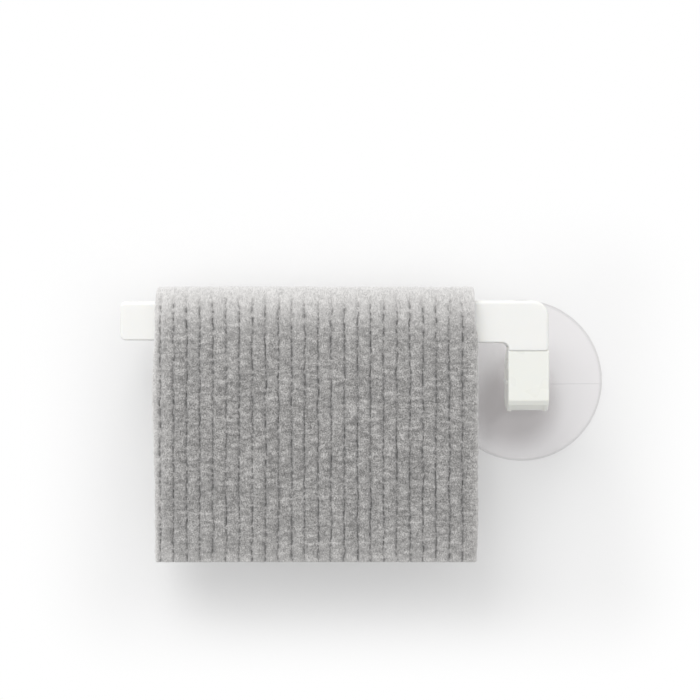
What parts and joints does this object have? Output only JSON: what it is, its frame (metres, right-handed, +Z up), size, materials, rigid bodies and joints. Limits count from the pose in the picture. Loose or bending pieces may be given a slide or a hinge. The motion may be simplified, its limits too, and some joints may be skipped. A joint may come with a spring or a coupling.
{
  "type": "dishcloth holder",
  "caption": "White L-shaped bar on a clear suction cup that a lever pulls tight on a smooth wall, with a doubled ribbed grey dishcloth hung over the bar.",
  "frame": {"origin": "centre of the suction cup's wall face, so the wall is the plane y = 0", "axes": "+X right as seen by the viewer, +Y into the wall, +Z up"},
  "size_m": [0.1822, 0.0327, 0.1017],
  "materials": {
    "white_plastic": "satin moulded white",
    "lever_plastic": "satin moulded white",
    "pin_steel": "ground stainless wire",
    "acetal": "smooth natural acetal",
    "clear_vinyl": "clear, slightly hazy soft vinyl",
    "grey_cloth": "heathered grey non-woven, stitched in ribs"
  },
  "bodies": {
    "root": {"arm_front_shell": "white_plastic", "arm_back_frame": "white_plastic", "lever_pivot_pin": "pin_steel", "suction_cup": "clear_vinyl"},
    "lever": {"lever": "lever_plastic"},
    "plunger": {"plunger": "acetal", "plunger_cross_pin": "pin_steel"},
    "cloth": {"dishcloth": "grey_cloth"}
  },
  "joints": [
    {"name": "lever_swing", "type": "hinge", "parent": "root", "child": "lever", "pos_m": [0, -0.0231, 0.0076], "axis": [-1, 0, 0], "range_deg": [0, 40]},
    {"name": "plunger_slide", "type": "slide", "parent": "root", "child": "plunger", "axis": [0, 1, 0], "range_m": [0, 0.00202], "deforming": ["suction_cup"]},
    {"name": "cloth_lift", "type": "slide", "parent": "root", "child": "cloth", "axis": [0, 0, 1], "range_m": [0, 0.11]}
  ],
  "couplings": [
    {"joint": "plunger_slide", "follows": "lever_swing", "m_per_rad": 0.0028648}
  ]
}
